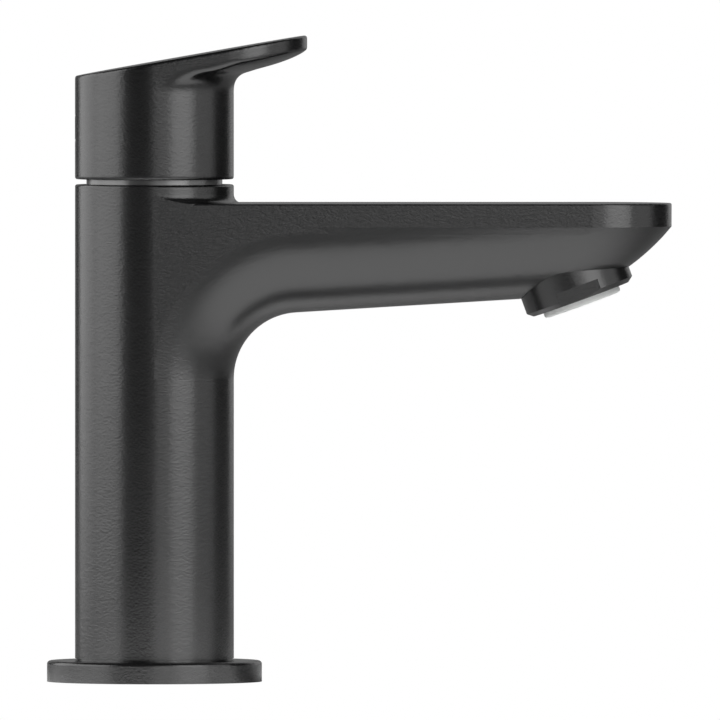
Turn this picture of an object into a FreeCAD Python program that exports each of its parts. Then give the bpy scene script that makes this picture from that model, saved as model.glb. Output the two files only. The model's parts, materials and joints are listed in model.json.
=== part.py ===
import FreeCAD, Part
import math
import os

# Single-hole basin mixer with a turn-only lever, in millimetres.
# Frame: origin on the column's axis at the deck plane, +Z up, +X along the spout.

V = FreeCAD.Vector
X_AXIS = V(1, 0, 0)
Y_AXIS = V(0, 1, 0)
Z_AXIS = V(0, 0, 1)

# ---- column and base ----
column_r = 17.0
column_bottom_z = 4.5
column_top_z = 106.4
column_edge_round = 0.45
shadow_gap_h = 0.5
shadow_gap_depth = 0.35
plate_r = 23.0
plate_edge_round = 0.75
spigot_r = 14.6
spigot_lift = 0.6
plate_bore_clearance = 0.05
gasket_mean_r = 19.5
gasket_width = 4.0
gasket_h = 1.6
seal_mean_r = 15.65
seal_width = 1.0
seal_h = 0.8

# ---- spout ----
slab_top_z = 102.4
slab_thickness = 5.0
spout_tip_x = 110.7
slab_edge_round = 0.35
nose_lean = 0.59
keel_rise_deg = 3.45
keel_split_deg = 5.0
bend_inner_r = 14.1
bend_centre_z = 64.9
root_cove_r = 1.9
waterway_start_x = 8.0
waterway_end_x = 71.5
waterway_half_w = 12.4
waterway_half_h = 7.0
waterway_z = 91.2
feed_overlap = 2.0
aerator_feed_r = 3.5
aerator_feed_z = 95.8

# ---- aerator, along an axis that leans outward ----
aerator_lean_deg = 20.0
aerator_face_x = 91.3
aerator_face_z = 81.8
collar_r = 12.0
collar_len = 9.5
collar_chamfer = 1.2
collar_clearance = 0.15
collar_seat_gap = 0.2
collar_mouth_reach = 9.0
aerator_thread_r = 11.0
thread_clearance = 0.05
aerator_len = 14.0
flats_across = 22.0
flats_width = 9.7
flats_height = 3.1
insert_r = 8.6
insert_flange_r = 9.6
insert_protrusion = 1.2
insert_lip_depth = 3.0
insert_flange_h = 2.0
insert_hole_r = 0.75
insert_holes = [(2.4, 6), (4.8, 12), (7.0, 18)]
insert_clearance = 0.1
insert_edge_round = 0.5
diffuser_h = 3.6
diffuser_wall = 1.2
diffuser_slot_r = 0.7
diffuser_slots = [(3.5, 8), (6.3, 12)]
regulator_h = 2.6
metering_r = 0.9
metering_holes = [(4.2, 8)]
regulator_ring_out_r = 3.2
regulator_ring_in_r = 1.9
regulator_ring_h = 1.0
screen_h = 2.6
screen_wall = 1.0
screen_roof = 0.8
screen_hole_r = 0.6
screen_holes = [(2.2, 6), (4.4, 12), (6.6, 18)]
washer_h = 0.8
washer_bore_r = 8.0
aerator_chamber_r = 9.4
aerator_chamber_h = 1.3

# ---- supply side ----
socket_r = 4.5
socket_len = 12.0
socket_x = -3.0
socket_y = 6.6
valve_r = 4.2
valve_len = 8.0
valve_clearance = 0.05
valve_bore_r = 2.6
strainer_h = 1.2
strainer_hole_r = 0.45
strainer_circle_r = 1.7
channel_r = 2.8
stud_r = 3.4
stud_len = 18.0
stud_x = 9.5

# ---- cartridge, bottom to top ----
seat_z = 60.0
cartridge_r = 12.6
cartridge_clearance = 0.05
base_h = 5.0
port_circle_r = 7.2
port_half_spread_deg = 32.5
port_r = 2.8
port_seal_r = 3.6
port_seal_h = 1.0
peg_r = 1.2
peg_len = 2.0
peg_inset = 3.0
peg_end_gap = 0.4
lug_inset = 0.4
lug_reach = 0.15
lug_h = 2.0
lug_end_gap = 0.1
peg_clearance = 0.1
disc_r = 11.0
disc_clearance = 0.2
fixed_disc_h = 4.0
moving_disc_h = 3.5
disc_film = 0.05
kidney_in_r = 4.9
kidney_out_r = 9.5
port_sweep_deg = 40.0
opening_sweep_deg = 66.0
turn_range_deg = 118.0
closed_lead_deg = 12.0
carrier_h = 5.0
tang_depth = 3.0
tang_w = 6.0
tang_l = 13.0
tang_clearance = 0.05
drive_end_gap = 0.2
window_z = 78.2
window_h = 5.6
window_sweep_deg = 60.0
stop_z = 84.6
stop_h = 3.1
stop_hub_r = 7.3
stop_lug_r = 10.6
stop_lug_half_deg = 10.0
stop_margin_deg = 2.0
stop_floor = 0.2
stop_play = 0.4
stop_hub_play = 0.2
roof_z = 88.0
housing_top_z = 98.0
washer_film = 0.03
washer_bore_play = 0.3
spindle_r = 5.0
spindle_clearance = 0.05
o_ring_h = 1.8
o_ring_depth = 1.0
o_ring_pitch = 4.0
stem_groove_lift = 1.5
housing_groove_drop = 3.2
gallery_r = 14.2
gallery_bottom_z = 75.0
gallery_top_z = 94.0
nut_thread_r = 14.0
nut_bore_r = 8.0
nut_head_h = 4.5
nut_across_flats = 24.0
snap_gap = 3.0
snap_groove_lift = 0.3
snap_ring_r = 6.8
snap_ring_h = 0.9
neck_r = 14.55
neck_wall = 0.6

# ---- handle ----
handle_gap = 1.1
handle_top_mid_z = 132.6
handle_slope_deg = 10.0
handle_edge_round = 0.35
lever_tip_x = 32.7
lever_thickness = 2.95
lever_keel_depth = 2.65
lever_keel_wrap_deg = 12.0
lever_edge_round = 0.4
lever_cove_r = 3.5
lever_cove_sink = 0.9
lever_cove_skirt = (4.0, 1.9)
neck_clearance = 0.6
cavity_top_z = 112.6
adapter_r = 8.5
adapter_bottom_z = 111.6
adapter_top_z = 125.0
adapter_clearance = 0.05
pocket_end_gap = 0.5
adapter_flat_x = 8.0
adapter_flat_drop = 4.0
spline_bottom_z = 104.0
spline_top_z = 119.0
spline_teeth = 12
spline_root_r = 3.7
spline_tip_r = 4.3
spline_root_share = 0.3
spline_tip_share = 0.14
spline_clearance = 0.06
spline_end_gap = 0.3
screw_shank_r = 1.95
screw_head_r = 3.4
screw_head_h = 2.6
screw_seat_z = 121.0
screw_bottom_z = 107.0
screw_clearance = 0.15
head_clearance = 0.3
cross_arm = 1.8
cross_half_w = 0.4
cross_depth = 1.4
grub_r = 2.45
grub_len = 6.0
grub_z = 118.5
grub_clearance = 0.05
cap_gap = 0.2
hex_key_r = 1.4
hex_key_depth = 2.5

# ---- values worked out from the sizes above ----
crease_z = slab_top_z - slab_thickness
spout_end_x = spout_tip_x - column_r
lever_end_x = lever_tip_x - column_r
bend_centre = V(column_r + bend_inner_r, 0, bend_centre_z)
rise = math.radians(keel_rise_deg)
bend_ray = V(-math.sin(rise), 0, math.cos(rise))
handle_bottom_z = column_top_z + handle_gap
lever_slope = math.tan(math.radians(handle_slope_deg))
lever_drop = lever_thickness / math.cos(math.radians(handle_slope_deg))
fixed_disc_z = seat_z + base_h
moving_disc_z = fixed_disc_z + fixed_disc_h + disc_film
carrier_z = moving_disc_z + moving_disc_h
carrier_top_z = carrier_z + carrier_h
rest_opening_deg = 180.0 - port_half_spread_deg - (port_sweep_deg + opening_sweep_deg) / 2 - closed_lead_deg
cold_port_deg = 180.0 - port_half_spread_deg
hot_port_deg = 180.0 + port_half_spread_deg
nut_top_z = column_top_z + nut_head_h
channel_start_z = spigot_lift + socket_len + valve_len


def polar(radius, degrees, z=0.0):
    """A point at a radius and angle around the column's axis."""
    angle = math.radians(degrees)
    return V(radius * math.cos(angle), radius * math.sin(angle), z)


def cylinder(radius, z0, z1, x=0.0, y=0.0):
    return Part.makeCylinder(radius, z1 - z0, V(x, y, z0))


def ring(outer_r, inner_r, z0, z1):
    return cylinder(outer_r, z0, z1).cut(cylinder(inner_r, z0, z1))


def block(x0, x1, y0, y1, z0, z1):
    return Part.makeBox(x1 - x0, y1 - y0, z1 - z0, V(x0, y0, z0))


def join(shapes):
    """One solid from several that overlap or share faces."""
    return shapes[0].multiFuse(shapes[1:]).removeSplitter()


def turned(points, rounds=()):
    """A body of revolution about Z from an (r, z) outline, with some corners rounded by (index, radius)."""
    edges = []
    radii = dict(rounds)
    corners = [V(r, 0, z) for r, z in points]
    count = len(corners)
    starts = list(corners)
    ends = list(corners)
    arcs = {}
    for i, radius in radii.items():
        corner = corners[i]
        back = (corners[i - 1] - corner).normalize()
        ahead = (corners[(i + 1) % count] - corner).normalize()
        half = back.getAngle(ahead) / 2
        reach = radius / math.tan(half)
        bisector = (back + ahead).normalize()
        middle = corner + bisector * (radius / math.sin(half) - radius)
        ends[i] = corner + back * reach
        starts[i] = corner + ahead * reach
        arcs[i] = Part.Arc(ends[i], middle, starts[i]).toShape()
    for i in range(count):
        after = (i + 1) % count
        edges.append(Part.makeLine(starts[i], ends[after]))
        if after in arcs:
            edges.append(arcs[after])
    face = Part.Face(Part.Wire(edges))
    return face.revolve(V(0, 0, 0), Z_AXIS, 360)


def sector(inner_r, outer_r, a0, a1, z0, z1):
    """A ring sector between two angles, as a prism."""
    mid = (a0 + a1) / 2
    outer = Part.Arc(polar(outer_r, a0, z0), polar(outer_r, mid, z0), polar(outer_r, a1, z0)).toShape()
    inner = Part.Arc(polar(inner_r, a1, z0), polar(inner_r, mid, z0), polar(inner_r, a0, z0)).toShape()
    side_a = Part.makeLine(polar(outer_r, a1, z0), polar(inner_r, a1, z0))
    side_b = Part.makeLine(polar(inner_r, a0, z0), polar(outer_r, a0, z0))
    return Part.Face(Part.Wire([outer, side_a, inner, side_b])).extrude(V(0, 0, z1 - z0))


def stadium(end_x, half_width, z0, z1):
    """A plan from the column's axis to a round end, as a prism."""
    near_right = V(0, -half_width, z0)
    far_right = V(end_x, -half_width, z0)
    tip = V(end_x + half_width, 0, z0)
    far_left = V(end_x, half_width, z0)
    near_left = V(0, half_width, z0)
    outline = [
        Part.makeLine(near_right, far_right),
        Part.Arc(far_right, tip, far_left).toShape(),
        Part.makeLine(far_left, near_left),
        Part.makeLine(near_left, near_right),
    ]
    return Part.Face(Part.Wire(outline)).extrude(V(0, 0, z1 - z0))


def polygon_prism(points, z0, z1):
    """A prism from a plan outline of (x, y) corners."""
    corners = [V(x, y, z0) for x, y in points]
    return Part.Face(Part.makePolygon(corners + corners[:1])).extrude(V(0, 0, z1 - z0))


def on_aerator_axis(shape):
    """Moves a shape drawn face down at the origin, +Z inward, onto the aerator's leaning axis."""
    placed = shape.copy()
    placed.rotate(V(0, 0, 0), Y_AXIS, -aerator_lean_deg)
    placed.translate(V(aerator_face_x, 0, aerator_face_z))
    return placed


def save(name, shape):
    """Writes one named sub-part after checking that it is closed and valid."""
    solids = shape.Solids
    if not solids or not shape.isValid():
        raise ValueError(name + " is not a valid solid")
    out = solids[0] if len(solids) == 1 else Part.makeCompound(solids)
    out.exportStep("parts/" + name + ".step")
    print(name, len(solids), round(out.Volume, 1))


# ---- the body's outer shape ----

def spout_slab():
    """The flat top plate of the spout, with its upper outline softened."""
    slab = stadium(spout_end_x, column_r, crease_z, slab_top_z)
    outline = []
    for edge in slab.Edges:
        box = edge.BoundBox
        if abs(box.ZMin - slab_top_z) < 1e-6 and abs(box.ZMax - slab_top_z) < 1e-6 and box.XMax > 1:
            outline.append(edge)
    return slab.makeFillet(slab_edge_round, outline)


def bend():
    """The inside of the bend, where the round column turns into the keel, filled up to the slab."""
    z = bend_centre_z
    side = column_r
    reach = slab_top_z - bend_centre_z
    outline = [
        Part.Arc(V(0, -side, z), V(side, 0, z), V(0, side, z)).toShape(),
        Part.makeLine(V(0, side, z), V(-reach, side, z)),
        Part.makeLine(V(-reach, side, z), V(-reach, -side, z)),
        Part.makeLine(V(-reach, -side, z), V(0, -side, z)),
    ]
    swept = Part.Face(Part.Wire(outline)).revolve(bend_centre, Y_AXIS, 90 - keel_rise_deg)
    return swept.common(block(0, 2 * side + reach, -side, side, z, crease_z))


def nose_frame():
    """The half-ellipse at the spout's end, as its first angle and the matrix that stretches a unit circle."""
    bottom = bend_centre + bend_ray * bend_inner_r
    centre_x = spout_end_x + nose_lean * slab_thickness
    slope = math.tan(rise)
    depth = (slab_top_z - bottom.z - (centre_x - bottom.x) * slope) / (1 - nose_lean * slope)
    first = math.asin(slab_thickness / depth)
    half_width = column_r / math.cos(first)
    stretch = FreeCAD.Matrix(
        half_width, 0, nose_lean * depth, centre_x,
        0, half_width, 0, 0,
        0, 0, depth, slab_top_z,
        0, 0, 0, 1,
    )
    return first, stretch


def unit_arc(start, end, stretch):
    """An arc of the unit circle in the YZ plane, from angle start to end below the horizontal, stretched."""
    def at(angle):
        return V(0, math.cos(angle), -math.sin(angle))
    arc = Part.Arc(at(start), at((start + end) / 2), at(end)).toShape()
    return arc.transformGeometry(stretch)


def closed_section(edges):
    """A section wire from side to side, closed by a straight line along the crease."""
    wire = Part.Wire(Part.__sortEdges__(edges))
    ends = [v.Point for v in wire.OrderedVertexes]
    return Part.Wire(wire.OrderedEdges + [Part.makeLine(ends[-1], ends[0])])


def keel_barrel():
    """The straight run of the keel, from the bend's round section to the leaning half-ellipse."""
    side = column_r
    centre = bend_centre + bend_ray * (bend_inner_r + side)
    top = bend_centre + bend_ray * ((crease_z - bend_centre_z) / math.cos(rise))
    left = V(0, side, 0)
    bottom = bend_centre + bend_ray * bend_inner_r
    root = [
        Part.makeLine(top + left, centre + left),
        Part.Arc(centre + left, bottom, centre - left).toShape(),
        Part.makeLine(centre - left, top - left),
    ]
    first, stretch = nose_frame()
    split = first + math.radians(keel_split_deg)
    tip = [
        unit_arc(first, split, stretch),
        unit_arc(split, math.pi - split, stretch),
        unit_arc(math.pi - split, math.pi - first, stretch),
    ]
    return Part.makeLoft([closed_section(root), closed_section(tip)], True, True)


def keel_nose():
    """The rounded end of the keel: half of an upright ellipsoid, leaning forward as it rises."""
    first, stretch = nose_frame()
    quarter = Part.makeSphere(1, V(0, 0, 0), Z_AXIS, -90, -math.degrees(first), 180)
    quarter.rotate(V(0, 0, 0), Z_AXIS, -90)
    return quarter.transformGeometry(stretch)


def cove(radius, foot_z, sign, skirt):
    """A ring that fills the corner between the column's side and a face at foot_z, above it or below it.

    The skirt, (reach, depth), carries the foot on into that face.
    """
    start = V(column_r, 0, foot_z + sign * radius)
    centre = V(column_r + radius, 0, foot_z + sign * radius)
    middle = centre + V(-radius / math.sqrt(2), 0, -sign * radius / math.sqrt(2))
    end = V(column_r + radius, 0, foot_z)
    hem = V(end.x + skirt[0], 0, foot_z - sign * skirt[1])
    inner = column_r - 1
    outline = [
        Part.Arc(start, middle, end).toShape(),
        Part.makeLine(end, hem),
        Part.makeLine(hem, V(inner, 0, hem.z)),
        Part.makeLine(V(inner, 0, hem.z), V(inner, 0, start.z)),
        Part.makeLine(V(inner, 0, start.z), start),
    ]
    return Part.Face(Part.Wire(outline)).revolve(V(0, 0, 0), Z_AXIS, 360)


def body_outside():
    """Column, bend, keel, slab and the small cove behind the slab, as one casting without its hollows."""
    relief_r = column_r - shadow_gap_depth
    relief_z = column_bottom_z + shadow_gap_h
    column = turned(
        [
            (0, spigot_lift),
            (spigot_r, spigot_lift),
            (spigot_r, column_bottom_z),
            (relief_r, column_bottom_z),
            (relief_r, relief_z),
            (column_r, relief_z),
            (column_r, column_top_z),
            (0, column_top_z),
        ],
        [(6, column_edge_round)],
    )
    root = cove(root_cove_r, slab_top_z, 1, (0, 1))
    root = root.common(block(0, 2 * column_r, -column_r, column_r, crease_z, column_top_z))
    return join([column, bend(), keel_barrel(), keel_nose(), spout_slab(), root])


# ---- the body's hollows ----

def socket_places():
    return [(socket_x, socket_y), (socket_x, -socket_y)]


def port_places():
    return [polar(port_circle_r, cold_port_deg), polar(port_circle_r, hot_port_deg)]


def peg_places():
    return [polar(cartridge_r - peg_inset, 60.0), polar(cartridge_r - peg_inset, 300.0)]


def supply_hollows():
    """Two hose sockets, the check valves' pockets, the rising channels and the stud's hole."""
    cuts = [cylinder(stud_r, spigot_lift - 1, spigot_lift + stud_len, stud_x)]
    for place, port in zip(socket_places(), port_places()):
        cuts.append(cylinder(socket_r, spigot_lift - 1, spigot_lift + socket_len, *place))
        cuts.append(cylinder(valve_r, spigot_lift, channel_start_z, *place))
        start = V(place[0], place[1], channel_start_z - channel_r)
        path = V(port.x, port.y, seat_z + channel_r) - start
        cuts.append(Part.makeCylinder(channel_r, path.Length, start, path))
    return cuts


def cartridge_hollows():
    """The stepped bore for the cartridge, the gallery round its windows and the nut's thread."""
    fit_r = cartridge_r + cartridge_clearance
    cuts = [
        cylinder(fit_r, seat_z, housing_top_z),
        cylinder(gallery_r, gallery_bottom_z, gallery_top_z),
        cylinder(nut_thread_r + thread_clearance, housing_top_z, column_top_z + 1),
    ]
    for peg in peg_places():
        cuts.append(cylinder(peg_r + peg_clearance, seat_z - peg_len - peg_end_gap, seat_z + 1, peg.x, peg.y))
    return cuts


def ellipse_prism(half_w, half_h, z, x0, x1):
    """A level bar of elliptical section along the spout."""
    disc = Part.makeCylinder(1, x1 - x0, V(x0, 0, 0), X_AXIS)
    stretch = FreeCAD.Matrix(1, 0, 0, 0, 0, half_w, 0, 0, 0, 0, half_h, z, 0, 0, 0, 1)
    return disc.transformGeometry(stretch)


def spout_hollows():
    """The waterway along the spout and the stepped seat of the aerator."""
    waterway = ellipse_prism(waterway_half_w, waterway_half_h, waterway_z, waterway_start_x, waterway_end_x)
    feed = Part.makeCylinder(
        aerator_feed_r, aerator_face_x - waterway_end_x - collar_len + feed_overlap,
        V(waterway_end_x - 1, 0, aerator_feed_z), X_AXIS,
    )
    seat_top = aerator_len + washer_h
    seat = join([
        cylinder(collar_r + collar_clearance, -collar_mouth_reach, collar_len + collar_seat_gap),
        cylinder(aerator_thread_r + thread_clearance, collar_len, seat_top),
        cylinder(aerator_chamber_r, collar_len, seat_top + aerator_chamber_h),
    ])
    return [waterway, feed, on_aerator_axis(seat)]


def body_casting():
    """The casting, with every hollow cut in one go."""
    return body_outside().cut(supply_hollows() + cartridge_hollows() + spout_hollows())


# ---- base ----

def base_plate():
    """The round plate under the column, with a gasket groove below and a seal groove above."""
    bore_r = spigot_r + plate_bore_clearance
    plate = turned(
        [(bore_r, 0), (plate_r, 0), (plate_r, column_bottom_z), (bore_r, column_bottom_z)],
        [(2, plate_edge_round)],
    )
    return plate.cut([base_gasket(), column_seal()])


def base_gasket():
    half = gasket_width / 2
    return ring(gasket_mean_r + half, gasket_mean_r - half, 0, gasket_h)


def column_seal():
    half = seal_width / 2
    return ring(seal_mean_r + half, seal_mean_r - half, column_bottom_z - seal_h, column_bottom_z)


# ---- supply fittings ----

def check_valves():
    """A valve barrel above each hose socket."""
    bottom = spigot_lift + socket_len
    barrels = []
    for place in socket_places():
        barrel = cylinder(valve_r - valve_clearance, bottom, bottom + valve_len - strainer_h, *place)
        barrels.append(barrel.cut(cylinder(valve_bore_r, bottom - 1, channel_start_z, *place)))
    return Part.makeCompound(barrels)


def inlet_strainers():
    """A perforated disc on top of each valve barrel."""
    discs = []
    for x, y in socket_places():
        low = channel_start_z - strainer_h
        disc = cylinder(valve_r - valve_clearance, low, channel_start_z, x, y)
        holes = [cylinder(strainer_hole_r, low - 1, channel_start_z + 1, x, y)]
        for i in range(6):
            hole = polar(strainer_circle_r, 60 * i)
            holes.append(cylinder(strainer_hole_r, low - 1, channel_start_z + 1, x + hole.x, y + hole.y))
        discs.append(disc.cut(holes))
    return Part.makeCompound(discs)


# ---- cartridge ----

def lug_angles():
    return [0.0, 90.0, 270.0]


def cartridge_base():
    """The plastic foot: two ports, seal pockets below, locating pegs and lugs that hold the fixed disc."""
    foot = cylinder(cartridge_r, seat_z, fixed_disc_z)
    parts = [foot]
    for peg in peg_places():
        parts.append(cylinder(peg_r, seat_z - peg_len, seat_z + 1, peg.x, peg.y))
    for angle in lug_angles():
        lug = polar(disc_r - lug_inset, angle)
        parts.append(cylinder(peg_r - peg_clearance, fixed_disc_z - 1, fixed_disc_z + lug_h, lug.x, lug.y))
    cuts = []
    for port in port_places():
        cuts.append(cylinder(port_r, seat_z - 1, fixed_disc_z + 1, port.x, port.y))
        cuts.append(cylinder(port_seal_r, seat_z - 1, seat_z + port_seal_h, port.x, port.y))
    whole = join(parts).cut(cuts)
    return whole.common(cylinder(disc_r + lug_reach, seat_z - 5, moving_disc_z).fuse(
        cylinder(cartridge_r, seat_z - 5, fixed_disc_z)))


def port_seals():
    rings = []
    for port in port_places():
        seal = cylinder(port_seal_r, seat_z, seat_z + port_seal_h, port.x, port.y)
        rings.append(seal.cut(cylinder(port_r, seat_z - 1, fixed_disc_z, port.x, port.y)))
    return Part.makeCompound(rings)


def kidney(centre_deg, sweep_deg, z0, z1):
    half = sweep_deg / 2
    return sector(kidney_in_r, kidney_out_r, centre_deg - half, centre_deg + half, z0, z1)


def fixed_disc():
    """The lower ceramic disc, with a kidney over each port."""
    top_z = fixed_disc_z + fixed_disc_h
    disc = cylinder(disc_r, fixed_disc_z, top_z)
    cuts = []
    for angle in (cold_port_deg, hot_port_deg):
        cuts.append(kidney(angle, port_sweep_deg, fixed_disc_z - 1, top_z + 1))
    for angle in lug_angles():
        notch = polar(disc_r - lug_inset, angle)
        cuts.append(cylinder(peg_r, fixed_disc_z - 1, fixed_disc_z + lug_h + lug_end_gap, notch.x, notch.y))
    return disc.cut(cuts)


def drive_places():
    return [polar(port_circle_r, rest_opening_deg + 150), polar(port_circle_r, rest_opening_deg + 210)]


def moving_disc():
    """The upper ceramic disc, with the one opening that uncovers cold, then both, then hot."""
    top_z = carrier_z
    disc = cylinder(disc_r - disc_clearance, moving_disc_z, top_z)
    cuts = [kidney(rest_opening_deg, opening_sweep_deg, moving_disc_z - 1, top_z + 1)]
    for place in drive_places():
        cuts.append(cylinder(peg_r + peg_clearance, top_z - peg_len, top_z + 1, place.x, place.y))
    return disc.cut(cuts)


def disc_carrier():
    """The plastic carrier that drives the moving disc with two pegs and takes the spindle's tang."""
    carrier = [cylinder(disc_r - disc_clearance, carrier_z, carrier_top_z)]
    for place in drive_places():
        carrier.append(cylinder(peg_r, carrier_z - peg_len + drive_end_gap, carrier_z + 1, place.x, place.y))
    slot_w = tang_w / 2 + tang_clearance
    slot_l = tang_l / 2 + tang_clearance
    slot = block(-slot_l, slot_l, -slot_w, slot_w, carrier_top_z - tang_depth, carrier_top_z + 1)
    slot.rotate(V(0, 0, 0), Z_AXIS, rest_opening_deg + 90)
    opening = kidney(rest_opening_deg, opening_sweep_deg, carrier_z - 1, carrier_top_z + 1)
    return join(carrier).cut([slot, opening])


def cartridge_housing():
    """The sleeve round the discs: side windows, a stop chamber under the roof and the spindle's bore."""
    sleeve = cylinder(cartridge_r, fixed_disc_z, housing_top_z)
    margin = stop_lug_half_deg + stop_margin_deg
    stop_top = roof_z
    groove_z = housing_top_z - housing_groove_drop
    cuts = [
        cylinder(disc_r + disc_clearance, fixed_disc_z - 1, stop_z - stop_floor),
        sector(1.0, stop_lug_r + stop_play, -margin, turn_range_deg + margin, stop_z - 1, stop_top),
        cylinder(stop_hub_r + stop_hub_play, stop_z - 1, stop_top),
        cylinder(spindle_r + spindle_clearance, roof_z - 1, housing_top_z + 1),
        ring(cartridge_r + 1, cartridge_r - o_ring_depth, groove_z, groove_z + o_ring_h),
    ]
    for angle in (0.0, 90.0, 180.0, 270.0):
        half = window_sweep_deg / 2
        outer = cartridge_r + 1
        cuts.append(sector(disc_r - 1, outer, angle - half, angle + half, window_z, window_z + window_h))
    return sleeve.cut(cuts)


def housing_o_ring():
    groove_z = housing_top_z - housing_groove_drop
    outer_r = cartridge_r + cartridge_clearance
    return ring(outer_r, cartridge_r - o_ring_depth, groove_z, groove_z + o_ring_h)


def stem_groove_levels():
    first = roof_z + stem_groove_lift
    return [first, first + o_ring_pitch]


def spindle():
    """Tang, stop flange with its lug, shaft with two seal grooves and a snap ring groove, and the spline."""
    half_l = tang_l / 2
    half_w = tang_w / 2
    tang = block(-half_l, half_l, -half_w, half_w, carrier_top_z - tang_depth, carrier_top_z + 1)
    tang.rotate(V(0, 0, 0), Z_AXIS, rest_opening_deg + 90)
    lug = sector(1.0, stop_lug_r, -stop_lug_half_deg, stop_lug_half_deg, stop_z, stop_z + stop_h)
    whole = join([
        tang,
        cylinder(spindle_r, carrier_top_z, spline_bottom_z),
        cylinder(stop_hub_r, stop_z, stop_z + stop_h),
        lug,
        spline(0, spline_bottom_z - 1, spline_top_z),
    ])
    ring_z = housing_top_z + washer_film
    groove_r = spindle_r - o_ring_depth
    cuts = [
        ring(spindle_r + 1, groove_r + snap_groove_lift, ring_z, ring_z + snap_ring_h),
        cylinder(screw_shank_r + thread_clearance, screw_bottom_z - 1, spline_top_z + 1),
    ]
    for level in stem_groove_levels():
        cuts.append(ring(spindle_r + 1, groove_r, level, level + o_ring_h))
    return whole.cut(cuts)


def stem_o_rings():
    rings = []
    for level in stem_groove_levels():
        outer_r = spindle_r + spindle_clearance / 2
        rings.append(ring(outer_r, spindle_r - o_ring_depth, level, level + o_ring_h))
    return Part.makeCompound(rings)


def snap_ring():
    """An open ring in the spindle's groove, on top of the housing."""
    ring_z = housing_top_z + washer_film
    groove_r = spindle_r - o_ring_depth + snap_groove_lift
    whole = ring(snap_ring_r, groove_r, ring_z, ring_z + snap_ring_h)
    return whole.cut(block(0, snap_ring_r + 1, -snap_gap / 2, snap_gap / 2, ring_z - 1, ring_z + 2))


def thrust_washer():
    """The thin low-friction washer between the stop flange and the roof."""
    return ring(stop_hub_r, spindle_r + washer_bore_play, stop_z + stop_h + washer_film, roof_z)


def spline(clearance, z0, z1):
    """A toothed bar, grown on all sides by the clearance."""
    points = []
    pitch = 360 / spline_teeth
    for i in range(spline_teeth):
        tooth = [
            (-spline_root_share, spline_root_r),
            (-spline_tip_share, spline_tip_r),
            (spline_tip_share, spline_tip_r),
            (spline_root_share, spline_root_r),
        ]
        for offset, radius in tooth:
            corner = polar(radius + clearance, (i + offset) * pitch)
            points.append((corner.x, corner.y))
    return polygon_prism(points, z0, z1)


def hex_prism(across, z0, z1):
    corner_r = across / math.sqrt(3)
    corners = [polar(corner_r, 60 * i) for i in range(6)]
    return polygon_prism([(c.x, c.y) for c in corners], z0, z1)


def retaining_nut():
    """The nut that holds the cartridge down: threaded skirt and hexagon head."""
    whole = join([
        cylinder(nut_thread_r, housing_top_z, column_top_z),
        hex_prism(nut_across_flats, column_top_z - 1, nut_top_z),
    ])
    return whole.cut(cylinder(nut_bore_r, housing_top_z - 1, nut_top_z + 1))


def neck_ring():
    """The slip ring over the nut's head, seen in the gap under the handle."""
    return ring(neck_r, neck_r - neck_wall, column_top_z, nut_top_z)


# ---- handle ----

def tilted(shape):
    """Turns a shape drawn on the level plane z = 0 onto the handle's sloping top plane."""
    placed = shape.copy()
    placed.rotate(V(0, 0, 0), Y_AXIS, -handle_slope_deg)
    placed.translate(V(0, 0, handle_top_mid_z))
    return placed


def under_top_plane():
    """Everything below the sloping top plane, as a large block."""
    reach = 4 * column_r
    return tilted(block(-reach, reach, -reach, reach, -reach, 0))


def lever_plate():
    """The lever: a plate with a round end, its top and underside sloping together."""
    plan = stadium(lever_end_x, column_r, handle_bottom_z, handle_bottom_z + 2 * column_r)
    reach = 4 * column_r
    layer = tilted(block(-reach, reach, -reach, reach, -lever_thickness, 0))
    return plan.common(layer)


def lever_keel():
    """The shallow rounded swelling under the lever."""
    first = math.radians(lever_keel_wrap_deg)
    depth = lever_keel_depth / (1 - math.sin(first))
    half_width = column_r / math.cos(first)
    cap = Part.makeSphere(1, V(0, 0, 0), Z_AXIS, -90, -math.degrees(first), 180)
    cap.rotate(V(0, 0, 0), Z_AXIS, -90)
    lift = depth * math.sin(first)
    under = handle_top_mid_z - lever_drop + lift
    slope = lever_slope
    cap_stretch = FreeCAD.Matrix(
        half_width, 0, 0, lever_end_x,
        0, half_width, 0, 0,
        slope * half_width, 0, depth, under + slope * lever_end_x,
        0, 0, 0, 1,
    )
    bar_stretch = FreeCAD.Matrix(
        lever_end_x, 0, 0, 0,
        0, half_width, 0, 0,
        slope * lever_end_x, 0, depth, under,
        0, 0, 0, 1,
    )
    def at(angle):
        return V(0, math.cos(angle), -math.sin(angle))
    last = math.pi - first
    section = [Part.Arc(at(first), at(math.pi / 2), at(last)).toShape(), Part.makeLine(at(last), at(first))]
    bar = Part.Face(Part.Wire(section)).extrude(X_AXIS)
    return [cap.transformGeometry(cap_stretch), bar.transformGeometry(bar_stretch)]


def handle_outside():
    """The round handle, cut by the sloping plane, with its lever and the cove between them."""
    top = handle_bottom_z + 2 * column_r
    drum = turned(
        [(0, handle_bottom_z), (column_r, handle_bottom_z), (column_r, top), (0, top)],
        [(1, handle_edge_round)],
    )
    flare_z = handle_top_mid_z - lever_drop + lever_cove_sink
    flare = cove(lever_cove_r, flare_z, -1, lever_cove_skirt)
    flare = flare.common(block(0, 2 * column_r, -column_r, column_r, handle_bottom_z, top))
    flare = flare.common(under_top_plane())
    whole = join([drum.common(under_top_plane()), lever_plate()] + lever_keel() + [flare])
    rim = []
    for edge in whole.Edges:
        points = [edge.valueAt(edge.FirstParameter), edge.valueAt(edge.LastParameter)]
        if all(abs(p.z - handle_top_mid_z - lever_slope * p.x) < 1e-4 for p in points):
            rim.append(edge)
    return whole.makeFillet(lever_edge_round, rim)


def grub_bore(radius, from_x, to_x):
    """A bar along -X at the grub screw's height."""
    return Part.makeCylinder(radius, to_x - from_x, V(-from_x, 0, grub_z), V(-1, 0, 0))


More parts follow.
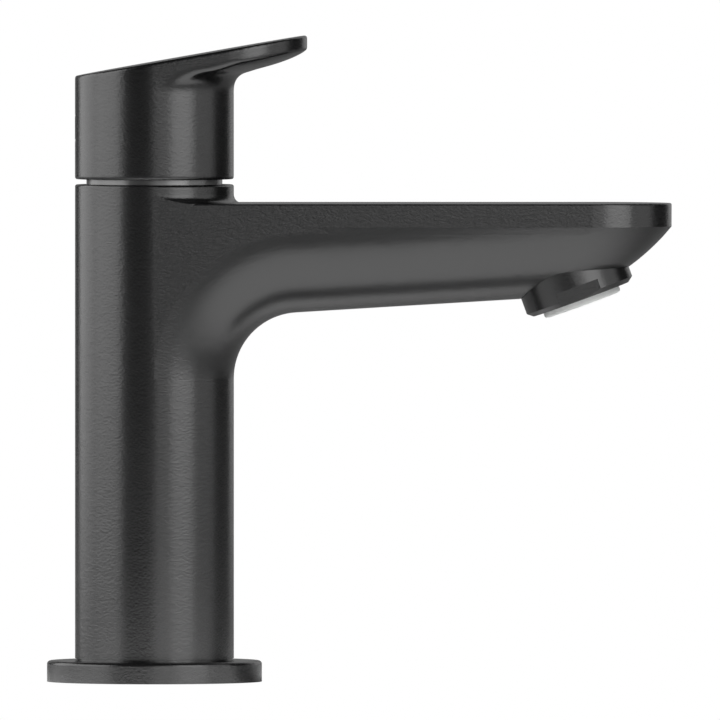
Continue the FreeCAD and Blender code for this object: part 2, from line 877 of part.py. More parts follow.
def handle():
    cavity = cylinder(neck_r + neck_clearance, handle_bottom_z - 1, cavity_top_z)
    pocket = cylinder(adapter_r + adapter_clearance, cavity_top_z - 1, adapter_top_z + pocket_end_gap)
    screw_way = grub_bore(grub_r + grub_clearance, adapter_flat_x - 1, column_r + 1)
    return handle_outside().cut([cavity, pocket, screw_way])


def handle_adapter():
    """The splined insert, screwed to the spindle and gripped by the grub screw on its flat."""
    insert = cylinder(adapter_r, adapter_bottom_z, adapter_top_z)
    flat_z = grub_z - adapter_flat_drop
    flat = block(-adapter_r - 1, -adapter_flat_x, -adapter_r, adapter_r, flat_z, adapter_top_z + 1)
    return insert.cut([
        flat,
        spline(spline_clearance, adapter_bottom_z - 1, spline_top_z + spline_end_gap),
        cylinder(screw_shank_r + screw_clearance, spline_top_z, screw_seat_z + 1),
        cylinder(screw_head_r + head_clearance, screw_seat_z, adapter_top_z + 1),
    ])


def adapter_screw():
    """The pan-head screw down into the spindle."""
    screw = join([
        cylinder(screw_shank_r, screw_bottom_z, screw_seat_z + 1),
        turned(
            [
                (0, screw_seat_z),
                (screw_head_r, screw_seat_z),
                (screw_head_r, screw_seat_z + screw_head_h),
                (0, screw_seat_z + screw_head_h),
            ],
            [(2, screw_head_h / 3)],
        ),
    ])
    cross_top = screw_seat_z + screw_head_h
    arms = [
        block(-cross_arm, cross_arm, -cross_half_w, cross_half_w, cross_top - cross_depth, cross_top + 1),
        block(-cross_half_w, cross_half_w, -cross_arm, cross_arm, cross_top - cross_depth, cross_top + 1),
    ]
    return screw.cut(arms)


def grub_screw():
    """The hexagon-socket screw that clamps the handle to the adapter."""
    end_x = adapter_flat_x + grub_len
    body = grub_bore(grub_r, adapter_flat_x, end_x)
    socket = hex_prism(2 * hex_key_r, 0, hex_key_depth + 1)
    socket.rotate(V(0, 0, 0), Y_AXIS, -90)
    socket.translate(V(-end_x + hex_key_depth, 0, grub_z))
    return body.cut(socket)


def screw_cap():
    """The plug that closes the grub screw's hole, flush with the handle's back."""
    plug = grub_bore(grub_r, adapter_flat_x + grub_len + cap_gap, column_r + 1)
    return plug.common(cylinder(column_r, grub_z - 5, grub_z + 5))


# ---- aerator, drawn face down at the origin and then leaned ----

def aerator_collar():
    """The screwed-in ring: chamfered collar with two spanner flats, threaded end and stepped bore."""
    collar = turned([
        (0, 0),
        (collar_r - collar_chamfer, 0),
        (collar_r, collar_chamfer * 0.8),
        (collar_r, collar_len),
        (aerator_thread_r, collar_len),
        (aerator_thread_r, aerator_len),
        (0, aerator_len),
    ])
    half_flat = flats_width / 2
    cuts = [
        cylinder(insert_r + insert_clearance, -1, insert_lip_depth),
        cylinder(insert_flange_r + insert_clearance, insert_lip_depth, aerator_len + 1),
    ]
    for side in (-1, 1):
        near = side * flats_across / 2
        far = side * (collar_r + 1)
        cuts.append(block(-half_flat, half_flat, min(near, far), max(near, far), -1, flats_height))
    return on_aerator_axis(collar.cut(cuts))


def rings_of_holes(radius, z0, z1, rings):
    """Straight holes in a disc: one in the middle and rings given by (circle radius, count)."""
    holes = [cylinder(radius, z0, z1)]
    for circle_r, count in rings:
        for i in range(count):
            place = polar(circle_r, 360 * i / count)
            holes.append(cylinder(radius, z0, z1, place.x, place.y))
    return holes


def aerator_insert():
    """The pale outlet insert, standing a little proud of the collar, with a field of outlet holes."""
    top = insert_lip_depth + insert_flange_h
    whole = turned(
        [
            (0, -insert_protrusion),
            (insert_r, -insert_protrusion),
            (insert_r, insert_lip_depth),
            (insert_flange_r, insert_lip_depth),
            (insert_flange_r, top),
            (0, top),
        ],
        [(1, insert_edge_round)],
    )
    holes = rings_of_holes(insert_hole_r, -insert_protrusion - 1, top + 1, insert_holes)
    return on_aerator_axis(whole.cut(holes))


def stack_levels():
    """The levels inside the collar: insert top, diffuser top, regulator top and screen top."""
    insert_top = insert_lip_depth + insert_flange_h
    diffuser_top = insert_top + diffuser_h
    regulator_top = diffuser_top + regulator_h
    return insert_top, diffuser_top, regulator_top, regulator_top + screen_h


def aerator_diffuser():
    """The mixing cup that breaks the jet: a floor with slots and a rim."""
    low, high, _, _ = stack_levels()
    inside = cylinder(insert_flange_r - diffuser_wall, low + diffuser_wall, high + 1)
    cup = cylinder(insert_flange_r, low, high).cut(inside)
    return on_aerator_axis(cup.cut(rings_of_holes(diffuser_slot_r, low - 1, high, diffuser_slots)))


def flow_regulator():
    """The disc with a central post and a ring of metering holes."""
    _, low, high, _ = stack_levels()
    disc = cylinder(insert_flange_r, low, high)
    return on_aerator_axis(disc.cut(rings_of_holes(metering_r, low - 1, high + 1, metering_holes)[1:]))


def regulator_o_ring():
    """The elastic ring that narrows the metering holes as pressure rises, lying on the regulator."""
    _, _, low, _ = stack_levels()
    return on_aerator_axis(ring(regulator_ring_out_r, regulator_ring_in_r, low, low + regulator_ring_h))


def inlet_screen():
    """The domed sieve on top of the stack, as a rimmed cup with holes."""
    _, _, low, high = stack_levels()
    inside = cylinder(insert_flange_r - screen_wall, low - 1, high - screen_roof)
    cup = cylinder(insert_flange_r, low, high).cut(inside)
    return on_aerator_axis(cup.cut(rings_of_holes(screen_hole_r, low, high + 1, screen_holes)))


def aerator_washer():
    seat = aerator_len
    return on_aerator_axis(ring(aerator_thread_r, washer_bore_r, seat, seat + washer_h))


makers = [
    body_casting, base_plate, base_gasket, column_seal, check_valves, inlet_strainers,
    cartridge_base, port_seals, fixed_disc, moving_disc, disc_carrier, cartridge_housing,
    housing_o_ring, spindle, stem_o_rings, snap_ring, thrust_washer, retaining_nut, neck_ring,
    handle, handle_adapter, adapter_screw, grub_screw, screw_cap,
    aerator_collar, aerator_insert, aerator_diffuser, flow_regulator, regulator_o_ring,
    inlet_screen, aerator_washer,
]
os.makedirs("parts", exist_ok=True)
for maker in makers:
    save(maker.__name__, maker())
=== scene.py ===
"""A matte black basin mixer: its finishes, its finer visible pieces and a plain studio."""

import json
import logging
import math
from dataclasses import dataclass, field
from enum import Enum

import bmesh
import bpy
from mathutils import Matrix, Vector

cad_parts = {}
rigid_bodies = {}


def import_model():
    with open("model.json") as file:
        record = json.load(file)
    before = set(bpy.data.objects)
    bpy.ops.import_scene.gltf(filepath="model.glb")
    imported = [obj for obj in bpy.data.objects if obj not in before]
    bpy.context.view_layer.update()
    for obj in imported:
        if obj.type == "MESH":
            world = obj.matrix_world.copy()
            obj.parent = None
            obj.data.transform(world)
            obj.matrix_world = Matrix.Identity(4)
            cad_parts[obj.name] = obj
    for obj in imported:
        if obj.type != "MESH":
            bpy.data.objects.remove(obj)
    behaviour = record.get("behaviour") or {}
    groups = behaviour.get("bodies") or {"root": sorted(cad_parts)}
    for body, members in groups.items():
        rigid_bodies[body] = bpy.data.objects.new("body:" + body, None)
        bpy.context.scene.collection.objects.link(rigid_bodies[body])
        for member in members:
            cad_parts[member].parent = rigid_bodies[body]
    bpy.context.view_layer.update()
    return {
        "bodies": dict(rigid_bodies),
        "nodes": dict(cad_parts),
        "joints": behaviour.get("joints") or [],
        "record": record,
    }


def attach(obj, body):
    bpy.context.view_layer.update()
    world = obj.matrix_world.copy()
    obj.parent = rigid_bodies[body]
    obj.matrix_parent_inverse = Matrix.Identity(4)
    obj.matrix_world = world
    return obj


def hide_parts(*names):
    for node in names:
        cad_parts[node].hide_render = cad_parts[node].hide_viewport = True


LOG = logging.getLogger("mixer")
MM = 0.001
Colour = tuple[float, float, float]


class Body(Enum):
    """The rigid bodies that a piece can ride on."""

    FIXED = "fixed_body"
    LEVER = "lever"


class Slot(Enum):
    """The record's material slots."""

    COATED = "coated_brass"
    BRASS = "bare_brass"
    BLACK_PLASTIC = "black_plastic"
    WHITE_PLASTIC = "white_plastic"
    GREY_PLASTIC = "grey_plastic"
    RUBBER = "black_rubber"
    CERAMIC = "white_ceramic"
    STEEL = "steel"


# ---- shared shader effects ----


class Effects:
    """Shader node groups that several finishes share, each built once."""

    FINE_DETAIL = 3.0
    COARSE_DETAIL = 2.0
    COARSE_SHARE = 0.28
    CLOUD_DETAIL = 5.0
    CLOUD_LOW = 0.3
    CLOUD_HIGH = 0.7
    RING_DETAIL = 2.0
    RING_STRETCH = (0.02, 0.02, 1.0)

    def __init__(self) -> None:
        """Builds the groups."""
        self.grain = self._grain()
        self.mottle = self._mottle()
        self.lathe = self._lathe()

    @staticmethod
    def _group(name: str, inputs: dict[str, float], outputs: list[str]) -> bpy.types.NodeTree:
        """Makes an empty group with a vector input and float sockets.

        Args:
            name: The group's name.
            inputs: Float inputs and their defaults.
            outputs: Names of the float outputs.

        Returns:
            The new node tree.
        """
        tree = bpy.data.node_groups.new(name, "ShaderNodeTree")
        tree.interface.new_socket("Vector", in_out="INPUT", socket_type="NodeSocketVector")
        for label, value in inputs.items():
            socket = tree.interface.new_socket(label, in_out="INPUT", socket_type="NodeSocketFloat")
            socket.default_value = value
        for label in outputs:
            tree.interface.new_socket(label, in_out="OUTPUT", socket_type="NodeSocketFloat")
        return tree

    def _grain(self) -> bpy.types.NodeTree:
        """The fine pebbled skin of a sprayed or moulded surface, as a height and a mask.

        Returns:
            The group.
        """
        tree = self._group("fine_grain", {"Scale": 2600.0, "Coarse": 0.35}, ["Height", "Mask"])
        nodes, links = tree.nodes, tree.links
        entry, leave = nodes.new("NodeGroupInput"), nodes.new("NodeGroupOutput")
        fine, coarse = nodes.new("ShaderNodeTexNoise"), nodes.new("ShaderNodeTexNoise")
        fine.inputs["Detail"].default_value = self.FINE_DETAIL
        coarse.inputs["Detail"].default_value = self.COARSE_DETAIL
        shrink, mix = nodes.new("ShaderNodeMath"), nodes.new("ShaderNodeMix")
        shrink.operation = "MULTIPLY"
        shrink.inputs[1].default_value = self.COARSE_SHARE
        links.new(entry.outputs["Scale"], shrink.inputs[0])
        links.new(entry.outputs["Vector"], fine.inputs["Vector"])
        links.new(entry.outputs["Vector"], coarse.inputs["Vector"])
        links.new(entry.outputs["Scale"], fine.inputs["Scale"])
        links.new(shrink.outputs[0], coarse.inputs["Scale"])
        links.new(entry.outputs["Coarse"], mix.inputs["Factor"])
        links.new(fine.outputs["Fac"], mix.inputs["A"])
        links.new(coarse.outputs["Fac"], mix.inputs["B"])
        links.new(mix.outputs["Result"], leave.inputs["Height"])
        links.new(coarse.outputs["Fac"], leave.inputs["Mask"])
        return tree

    def _mottle(self) -> bpy.types.NodeTree:
        """Soft, uneven patches, such as the clouding of a satin coat, as a value from Low to High.

        Returns:
            The group.
        """
        tree = self._group("soft_mottle", {"Scale": 60.0, "Low": 0.4, "High": 0.6}, ["Value"])
        nodes, links = tree.nodes, tree.links
        entry, leave = nodes.new("NodeGroupInput"), nodes.new("NodeGroupOutput")
        cloud, spread = nodes.new("ShaderNodeTexNoise"), nodes.new("ShaderNodeMapRange")
        cloud.inputs["Detail"].default_value = self.CLOUD_DETAIL
        spread.inputs["From Min"].default_value = self.CLOUD_LOW
        spread.inputs["From Max"].default_value = self.CLOUD_HIGH
        links.new(entry.outputs["Vector"], cloud.inputs["Vector"])
        links.new(entry.outputs["Scale"], cloud.inputs["Scale"])
        links.new(cloud.outputs["Fac"], spread.inputs["Value"])
        links.new(entry.outputs["Low"], spread.inputs["To Min"])
        links.new(entry.outputs["High"], spread.inputs["To Max"])
        links.new(spread.outputs["Result"], leave.inputs["Value"])
        return tree

    def _lathe(self) -> bpy.types.NodeTree:
        """Fine level rings left by turning about the upright axis, as a height.

        Returns:
            The group.
        """
        tree = self._group("lathe_marks", {"Scale": 9000.0}, ["Height"])
        nodes, links = tree.nodes, tree.links
        entry, leave = nodes.new("NodeGroupInput"), nodes.new("NodeGroupOutput")
        squash, noise = nodes.new("ShaderNodeVectorMath"), nodes.new("ShaderNodeTexNoise")
        squash.operation = "MULTIPLY"
        squash.inputs[1].default_value = self.RING_STRETCH
        noise.inputs["Detail"].default_value = self.RING_DETAIL
        links.new(entry.outputs["Vector"], squash.inputs[0])
        links.new(squash.outputs["Vector"], noise.inputs["Vector"])
        links.new(entry.outputs["Scale"], noise.inputs["Scale"])
        links.new(noise.outputs["Fac"], leave.inputs["Height"])
        return tree


@dataclass(frozen=True)
class Finish:
    """A finish: its colours, its roughness range and the grain of its skin."""

    name: str
    colour: Colour
    shade: Colour
    rough_low: float
    rough_high: float
    grain_scale: float = 2600.0
    grain_depth: float = 0.0
    grain_bite: float = 0.3
    metallic: float = 0.0
    ior: float = 1.5
    coat: float = 0.0
    turned: bool = False
    mottle_scale: float = 60.0

    def build(self, effects: Effects) -> bpy.types.Material:
        """Makes the material.

        Args:
            effects: The shared node groups.

        Returns:
            A material with a Principled shader fed by the groups.
        """
        material = bpy.data.materials.new(self.name)
        material.use_nodes = True
        nodes, links = material.node_tree.nodes, material.node_tree.links
        shader = nodes["Principled BSDF"]
        shader.inputs["Metallic"].default_value = self.metallic
        shader.inputs["IOR"].default_value = self.ior
        shader.inputs["Coat Weight"].default_value = self.coat
        place = nodes.new("ShaderNodeTexCoord")
        where = place.outputs["Object"]

        mottle = self._use(nodes, links, effects.mottle, where)
        mottle.inputs["Scale"].default_value = self.mottle_scale
        mottle.inputs["Low"].default_value = self.rough_low
        mottle.inputs["High"].default_value = self.rough_high
        links.new(mottle.outputs["Value"], shader.inputs["Roughness"])

        grain = self._use(nodes, links, effects.grain, where)
        grain.inputs["Scale"].default_value = self.grain_scale
        tint = nodes.new("ShaderNodeMix")
        tint.data_type = "RGBA"
        tint.inputs["A"].default_value = (*self.colour, 1.0)
        tint.inputs["B"].default_value = (*self.shade, 1.0)
        links.new(grain.outputs["Mask"], tint.inputs["Factor"])
        links.new(tint.outputs["Result"], shader.inputs["Base Color"])

        bump = nodes.new("ShaderNodeBump")
        bump.inputs["Strength"].default_value = self.grain_bite
        bump.inputs["Distance"].default_value = self.grain_depth
        height = grain.outputs["Height"]
        if self.turned:
            height = self._use(nodes, links, effects.lathe, where).outputs["Height"]
        links.new(height, bump.inputs["Height"])
        links.new(bump.outputs["Normal"], shader.inputs["Normal"])
        return material

    @staticmethod
    def _use(
        nodes: bpy.types.Nodes,
        links: bpy.types.NodeLinks,
        tree: bpy.types.NodeTree,
        where: bpy.types.NodeSocket,
    ) -> bpy.types.Node:
        """Places a shared group in a material and gives it the surface's position.

        Args:
            nodes: The material's nodes.
            links: The material's links.
            tree: The shared group.
            where: The socket that holds the position.

        Returns:
            The group node.
        """
        group = nodes.new("ShaderNodeGroup")
        group.node_tree = tree
        links.new(where, group.inputs["Vector"])
        return group


FINISHES: dict[Slot, Finish] = {
    Slot.COATED: Finish(
        "matte_black_coat", (0.0040, 0.0040, 0.0042), (0.0060, 0.0060, 0.0062), 0.23, 0.27,
        grain_scale=1900.0, grain_depth=0.00013, grain_bite=0.40, ior=1.9, mottle_scale=45.0,
    ),
    Slot.BRASS: Finish(
        "turned_brass", (0.72, 0.52, 0.23), (0.60, 0.42, 0.17), 0.22, 0.36,
        grain_depth=0.00004, metallic=1.0, turned=True,
    ),
    Slot.BLACK_PLASTIC: Finish(
        "black_moulding", (0.014, 0.014, 0.015), (0.022, 0.022, 0.023), 0.42, 0.52,
        grain_scale=3200.0, grain_depth=0.00005,
    ),
    Slot.WHITE_PLASTIC: Finish(
        "white_moulding", (0.80, 0.80, 0.77), (0.74, 0.74, 0.71), 0.38, 0.50,
        grain_scale=1800.0, grain_depth=0.00004,
    ),
    Slot.GREY_PLASTIC: Finish(
        "pale_grey_moulding", (0.80, 0.81, 0.80), (0.74, 0.75, 0.74), 0.34, 0.44,
        grain_scale=1800.0, grain_depth=0.00003,
    ),
    Slot.RUBBER: Finish(
        "black_seal_rubber", (0.018, 0.018, 0.018), (0.030, 0.030, 0.030), 0.62, 0.78,
        grain_scale=1500.0, grain_depth=0.00008, grain_bite=0.4,
    ),
    Slot.CERAMIC: Finish(
        "lapped_ceramic", (0.88, 0.86, 0.80), (0.84, 0.82, 0.76), 0.08, 0.16,
        grain_depth=0.00001, coat=0.3,
    ),
    Slot.STEEL: Finish(
        "drawn_steel", (0.60, 0.60, 0.61), (0.52, 0.52, 0.53), 0.24, 0.36,
        grain_depth=0.00003, metallic=1.0, turned=True,
    ),
}


NECK_RING = Finish(
    "satin_neck_ring", (0.30, 0.30, 0.30), (0.26, 0.26, 0.26), 0.24, 0.32,
    grain_depth=0.00003, metallic=0.6,
)


class Workshop:
    """Holds the frame and the finishes, and turns meshes into finished pieces."""

    def __init__(self, frame: dict) -> None:
        """Builds every finish.
        """
        self.nodes: dict[str, bpy.types.Object] = frame["nodes"]
        self.slots: dict[str, Slot] = {
            part["node"]: Slot(part["material_slot"]) for part in frame["record"]["subparts"]
        }
        self.effects = Effects()
        self.materials = {slot: finish.build(self.effects) for slot, finish in FINISHES.items()}

    def dress_frame(self) -> None:
        """Gives every node of the frame its finish."""
        for name, node in self.nodes.items():
            node.data.materials.clear()
            node.data.materials.append(self.materials[self.slots[name]])
        ring = self.nodes["neck_ring"].data.materials
        ring.clear()
        ring.append(NECK_RING.build(self.effects))

    def finish_piece(self, piece: bpy.types.Object, slot: Slot, body: Body, *stands_for: str) -> None:
        """Dresses a new piece, puts it on its body and hides the nodes that it stands for.

        Args:
            piece: The finished mesh object.
            slot: The finish.
            body: The body it moves with.
            stands_for: Names of the frame's nodes that it replaces.
        """
        piece.data.materials.clear()
        piece.data.materials.append(self.materials[slot])
        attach(piece, body.value)
        if stands_for:
            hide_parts(*stands_for)
        LOG.info("%s: %d faces", piece.name, len(piece.data.polygons))


def mesh_object(name: str, shape: bmesh.types.BMesh, crease_deg: float = 30.0) -> bpy.types.Object:
    """Turns a bmesh into a smooth-shaded object with sharp edges kept.

    Args:
        name: The object's name.
        shape: The geometry, which is freed.
        crease_deg: Edges that bend by more than this stay sharp.

    Returns:
        The new object, linked to the scene.
    """
    for face in shape.faces:
        face.smooth = True
    limit = math.radians(crease_deg)
    for edge in shape.edges:
        if len(edge.link_faces) == 2 and edge.calc_face_angle(0.0) > limit:
            edge.smooth = False
    mesh = bpy.data.meshes.new(name)
    shape.to_mesh(mesh)
    shape.free()
    piece = bpy.data.objects.new(name, mesh)
    bpy.context.scene.collection.objects.link(piece)
    return piece


# ---- the handle ----


@dataclass(frozen=True)
class SoftHandle:
    """The handle with its lever flowing out of the drum in one soft sweep."""

    merge_mm: float = 0.001
    grid_mm: float = 0.30
    skin_passes: int = 3
    sweep_passes: int = 70
    strength: float = 0.5
    near_r_mm: float = 15.6
    far_r_mm: float = 25.0
    low_z_mm: float = 125.5
    top_mid_z_mm: float = 132.6
    slope_deg: float = 10.0
    plate_mm: float = 2.3
    fade_mm: float = 1.2

    def _weight(self, place: Vector) -> float:
        """How strongly a point is swept smooth, by its distance inside the joint's zone.

        Args:
            place: The point, in metres.

        Returns:
            A weight from 0 to 1.
        """
        x, z = place.x / MM, place.z / MM
        radius = math.hypot(place.x, place.y) / MM
        under = self.top_mid_z_mm + x * math.tan(math.radians(self.slope_deg)) - self.plate_mm - z
        inside = min(radius - self.near_r_mm, self.far_r_mm - radius, z - self.low_z_mm, under, x)
        return max(0.0, min(1.0, inside / self.fade_mm))

    def build(self, source: bpy.types.Object) -> bpy.types.Object:
        """Makes the piece from the frame's handle.

        Args:
            source: The frame's handle node, which stays as it is.

        Returns:
            The piece, at the origin.
        """
        shape = bmesh.new()
        shape.from_mesh(source.data)
        shape.transform(source.matrix_world)
        bmesh.ops.remove_doubles(shape, verts=shape.verts, dist=self.merge_mm * MM)
        piece = mesh_object("soft_handle", shape)
        grid = piece.modifiers.new("even_grid", "REMESH")
        grid.mode = "VOXEL"
        grid.voxel_size = self.grid_mm * MM
        grid.use_smooth_shade = True
        self._settle(piece)
        group = piece.vertex_groups.new(name="joint")
        for corner in piece.data.vertices:
            weight = self._weight(corner.co)
            if weight > 0.0:
                group.add([corner.index], weight, "REPLACE")
        skin = piece.modifiers.new("skin", "SMOOTH")
        skin.factor, skin.iterations = self.strength, self.skin_passes
        sweep = piece.modifiers.new("sweep", "SMOOTH")
        sweep.factor, sweep.iterations = self.strength, self.sweep_passes
        sweep.vertex_group = group.name
        self._settle(piece)
        piece.vertex_groups.clear()
        return piece

    @staticmethod
    def _settle(piece: bpy.types.Object) -> None:
        """Turns the piece's modifiers into plain mesh.

        Args:
            piece: The object, which keeps no modifier.
        """
        bpy.context.view_layer.update()
        ready = piece.evaluated_get(bpy.context.evaluated_depsgraph_get())
        mesh = bpy.data.meshes.new_from_object(ready)
        piece.modifiers.clear()
        piece.data = mesh


# ---- the outlet ----


@dataclass(frozen=True)
class OutletSleeves:
    """The raised lips round the outlet's holes, set out in rings on the insert's leaning face."""

    face_mm: tuple[float, float, float] = (91.3, 0.0, 81.8)
    lean_deg: float = 20.0
    level_mm: float = -1.2
    rings: tuple[tuple[float, int], ...] = ((2.4, 6), (4.8, 12), (7.0, 18))
    lip_radius_mm: float = 0.86
    lip_wire_mm: float = 0.11
    around: int = 20
    section: int = 8

    def _tree(self) -> bpy.types.NodeTree:
        """A node tree that sets one lip on every point of the rings.

        Returns:
            The geometry node group, with inputs Lip Radius, Wire Radius and Material.
        """
        tree = bpy.data.node_groups.new("rings_of_lips", "GeometryNodeTree")
        tree.interface.new_socket("Geometry", in_out="INPUT", socket_type="NodeSocketGeometry")
        for label in ("Lip Radius", "Wire Radius"):
            tree.interface.new_socket(label, in_out="INPUT", socket_type="NodeSocketFloat")
        tree.interface.new_socket("Material", in_out="INPUT", socket_type="NodeSocketMaterial")
        tree.interface.new_socket("Geometry", in_out="OUTPUT", socket_type="NodeSocketGeometry")
        nodes, links = tree.nodes, tree.links
        entry, leave = nodes.new("NodeGroupInput"), nodes.new("NodeGroupOutput")
        gather = nodes.new("GeometryNodeJoinGeometry")
        middle = nodes.new("GeometryNodeMeshLine")
        middle.inputs["Count"].default_value = 1
        links.new(middle.outputs["Mesh"], gather.inputs["Geometry"])
        for radius, count in self.rings:
            circle = nodes.new("GeometryNodeMeshCircle")
            circle.inputs["Vertices"].default_value = count
            circle.inputs["Radius"].default_value = radius * MM
            links.new(circle.outputs["Mesh"], gather.inputs["Geometry"])
        path = nodes.new("GeometryNodeCurvePrimitiveCircle")
        wire = nodes.new("GeometryNodeCurvePrimitiveCircle")
        path.inputs["Resolution"].default_value = self.around
        wire.inputs["Resolution"].default_value = self.section
        lip, place = nodes.new("GeometryNodeCurveToMesh"), nodes.new("GeometryNodeInstanceOnPoints")
        solid, dress = nodes.new("GeometryNodeRealizeInstances"), nodes.new("GeometryNodeSetMaterial")
        links.new(entry.outputs["Lip Radius"], path.inputs["Radius"])
        links.new(entry.outputs["Wire Radius"], wire.inputs["Radius"])
        links.new(path.outputs["Curve"], lip.inputs["Curve"])
        links.new(wire.outputs["Curve"], lip.inputs["Profile Curve"])
        links.new(gather.outputs["Geometry"], place.inputs["Points"])
        links.new(lip.outputs["Mesh"], place.inputs["Instance"])
        links.new(place.outputs["Instances"], solid.inputs["Geometry"])
        links.new(solid.outputs["Geometry"], dress.inputs["Geometry"])
        links.new(entry.outputs["Material"], dress.inputs["Material"])
        links.new(dress.outputs["Geometry"], leave.inputs["Geometry"])
        return tree

    def build(self, material: bpy.types.Material) -> bpy.types.Object:
        """Makes the lips as one mesh in the tap's frame.

        Args:
            material: The finish of the insert.

        Returns:
            The piece, at the origin.
        """
        seed = bpy.data.objects.new("outlet_seed", bpy.data.meshes.new("outlet_seed"))
        bpy.context.scene.collection.objects.link(seed)
        tree = self._tree()
        grow = seed.modifiers.new("rings_of_lips", "NODES")
        grow.node_group = tree
        values = {
            "Lip Radius": self.lip_radius_mm * MM,
            "Wire Radius": self.lip_wire_mm * MM,
            "Material": material,
        }
        for item in tree.interface.items_tree:
            if item.in_out == "INPUT" and item.name in values:
                grow[item.identifier] = values[item.name]
        bpy.context.view_layer.update()
        ready = seed.evaluated_get(bpy.context.evaluated_depsgraph_get())
        mesh = bpy.data.meshes.new_from_object(ready)
        seed.modifiers.clear()
        bpy.data.objects.remove(seed)
        turn = Matrix.Rotation(math.radians(-self.lean_deg), 4, "Y")
        shift = Matrix.Translation(Vector(self.face_mm) * MM)
        mesh.transform(shift @ turn @ Matrix.Translation((0.0, 0.0, self.level_mm * MM)))
        mesh.shade_smooth()
        piece = bpy.data.objects.new("outlet_lips", mesh)
        bpy.context.scene.collection.objects.link(piece)
        return piece


# ---- the studio ----


@dataclass
class Softbox:
    """A rectangular lamp that faces the tap."""

    name: str
    bearing_deg: float
    height: float
    reach: float
    width: float
    tall: float
    watts: float

    def hang(self, aim: Vector) -> None:
        """Creates the lamp at its bearing, counted from the camera's side towards +X.

        Args:
            aim: The point that it faces.
        """
        light = bpy.data.lights.new(self.name, "AREA")
        light.shape = "RECTANGLE"
        light.size = self.width
        light.size_y = self.tall
        light.energy = self.watts
        holder = bpy.data.objects.new(self.name, light)
        angle = math.radians(self.bearing_deg)
        holder.location = (math.sin(angle) * self.reach, -math.cos(angle) * self.reach, self.height)
        holder.rotation_euler = (aim - holder.location).to_track_quat("-Z", "Y").to_euler()
        holder.visible_camera = False
        bpy.context.scene.collection.objects.link(holder)


@dataclass
class PoolLamp:
    """A soft spot straight overhead that lights the floor round the tap and casts its shadow there."""

    place: tuple[float, float, float] = (0.045, -0.09, 1.3)
    cone_deg: float = 18.0
    soft_edge: float = 0.9
    lamp_radius: float = 0.05
    watts: float = 66.0

    def hang(self) -> None:
        """Creates the lamp, pointing straight down and left out of reflections."""
        light = bpy.data.lights.new("overhead_pool", "SPOT")
        light.spot_size = math.radians(self.cone_deg)
        light.spot_blend = self.soft_edge
        light.shadow_soft_size = self.lamp_radius
        light.energy = self.watts
        holder = bpy.data.objects.new("overhead_pool", light)
        holder.location = self.place
        holder.visible_glossy = False
        bpy.context.scene.collection.objects.link(holder)


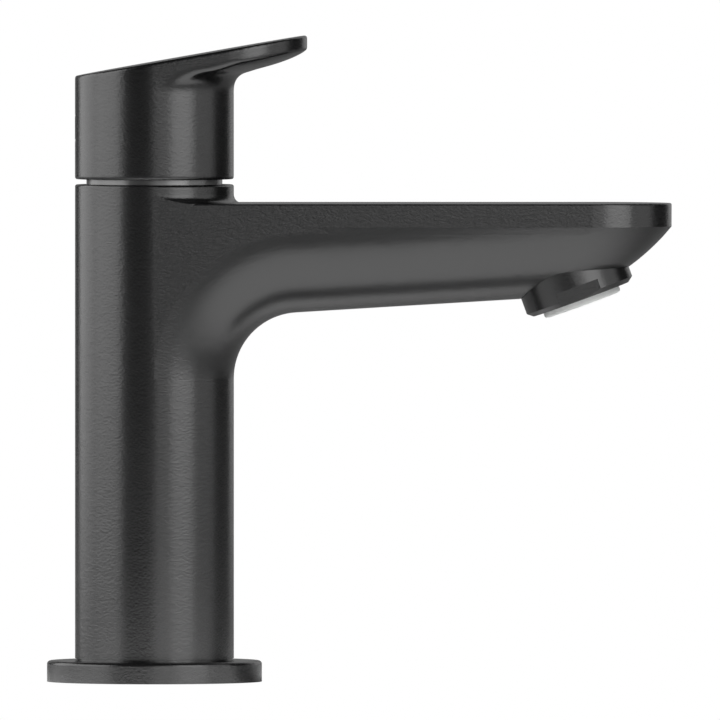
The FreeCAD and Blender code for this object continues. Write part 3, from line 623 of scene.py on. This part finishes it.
@dataclass
class Studio:
    """The floor, the lamps, the surrounding light and the camera."""

    aim: Vector = field(default_factory=lambda: Vector((0.0440, 0.0, 0.0688)))
    camera_distance: float = 7.4
    camera_lift_deg: float = 1.1
    picture_width: float = 0.1541
    sensor_mm: float = 36.0
    far_clip: float = 50.0
    floor_reach: float = 6.0
    floor_colour: Colour = (0.86, 0.86, 0.86)
    floor_roughness: float = 0.9
    surround: float = 0.02
    lamps: tuple[Softbox, ...] = (
        Softbox("left_front_panel", -72.0, 0.10, 1.2, 1.05, 1.6, 8.4),
        Softbox("left_back_panel", -118.0, 0.10, 1.2, 0.9, 1.6, 6.4),
        Softbox("front_right_panel", 41.0, 0.10, 1.2, 0.8, 1.6, 7.4),
        Softbox("right_panel", 80.0, 0.10, 1.2, 0.7, 1.6, 2.0),
        Softbox("front_fill", 9.0, 0.10, 2.4, 0.8, 1.6, 4.0),
        Softbox("back_right_panel", 152.0, 0.60, 1.6, 0.8, 1.8, 2.4),
        Softbox("back_panel", 185.0, 0.60, 2.2, 1.4, 1.8, 2.2),
    )

    def build(self) -> None:
        """Sets up the whole studio."""
        self._floor()
        self._world()
        self._camera()
        for lamp in self.lamps:
            lamp.hang(self.aim)
        PoolLamp().hang()
        bpy.context.scene.view_settings.view_transform = "Standard"

    def _floor(self) -> None:
        """A large, plain, level plane under the tap, white to the eye."""
        shape = bmesh.new()
        bmesh.ops.create_grid(shape, x_segments=1, y_segments=1, size=self.floor_reach)
        floor = mesh_object("floor", shape)
        material = bpy.data.materials.new("pale_floor")
        material.use_nodes = True
        nodes, links = material.node_tree.nodes, material.node_tree.links
        shader = nodes["Principled BSDF"]
        shader.inputs["Base Color"].default_value = (*self.floor_colour, 1.0)
        shader.inputs["Roughness"].default_value = self.floor_roughness
        self._show_white(nodes, links, shader)
        material.cycles.emission_sampling = "NONE"
        floor.data.materials.append(material)

    @staticmethod
    def _show_white(nodes: bpy.types.Nodes, links: bpy.types.NodeLinks, shader: bpy.types.Node) -> None:
        """Shows the floor white to the eye; reflections see its lit surface with the tap's shadow.

        Args:
            nodes: The material's nodes.
            links: The material's links.
            shader: The floor's own shader.
        """
        path, white, shown = (
            nodes.new("ShaderNodeLightPath"),
            nodes.new("ShaderNodeEmission"),
            nodes.new("ShaderNodeMixShader"),
        )
        links.new(path.outputs["Is Camera Ray"], shown.inputs["Fac"])
        links.new(shader.outputs["BSDF"], shown.inputs[1])
        links.new(white.outputs["Emission"], shown.inputs[2])
        links.new(shown.outputs["Shader"], nodes["Material Output"].inputs["Surface"])

    def _world(self) -> None:
        """Faint, even light from all round, white where the camera looks straight at it."""
        world = bpy.data.worlds.new("studio_surround")
        bpy.context.scene.world = world
        world.use_nodes = True
        nodes, links = world.node_tree.nodes, world.node_tree.links
        ground = nodes["Background"]
        ground.inputs["Color"].default_value = (1.0, 1.0, 1.0, 1.0)
        path, level = nodes.new("ShaderNodeLightPath"), nodes.new("ShaderNodeMapRange")
        level.inputs["To Min"].default_value = self.surround
        level.inputs["To Max"].default_value = 1.0
        links.new(path.outputs["Is Camera Ray"], level.inputs["Value"])
        links.new(level.outputs["Result"], ground.inputs["Strength"])

    def _camera(self) -> None:
        """A long lens, almost level, square to the spout."""
        lens = bpy.data.cameras.new("studio_camera")
        lens.sensor_width = self.sensor_mm
        lens.lens = self.sensor_mm * self.camera_distance / self.picture_width
        lens.clip_end = self.far_clip
        camera = bpy.data.objects.new("studio_camera", lens)
        lift = math.radians(self.camera_lift_deg)
        offset = Vector((0.0, -math.cos(lift), math.sin(lift))) * self.camera_distance
        camera.location = self.aim + offset
        camera.rotation_euler = (-offset).to_track_quat("-Z", "Y").to_euler()
        bpy.context.scene.collection.objects.link(camera)
        bpy.context.scene.camera = camera


def main() -> None:
    """Builds the tap's pieces and the studio round the frame."""
    logging.basicConfig(level=logging.INFO, format="%(name)s: %(message)s")
    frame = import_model()
    shop = Workshop(frame)
    shop.dress_frame()
    handle = SoftHandle().build(frame["nodes"]["handle"])
    shop.finish_piece(handle, Slot.COATED, Body.LEVER, "handle")
    lips = OutletSleeves().build(shop.materials[Slot.GREY_PLASTIC])
    shop.finish_piece(lips, Slot.GREY_PLASTIC, Body.FIXED)
    Studio().build()


if __name__ == "__main__":
    main()
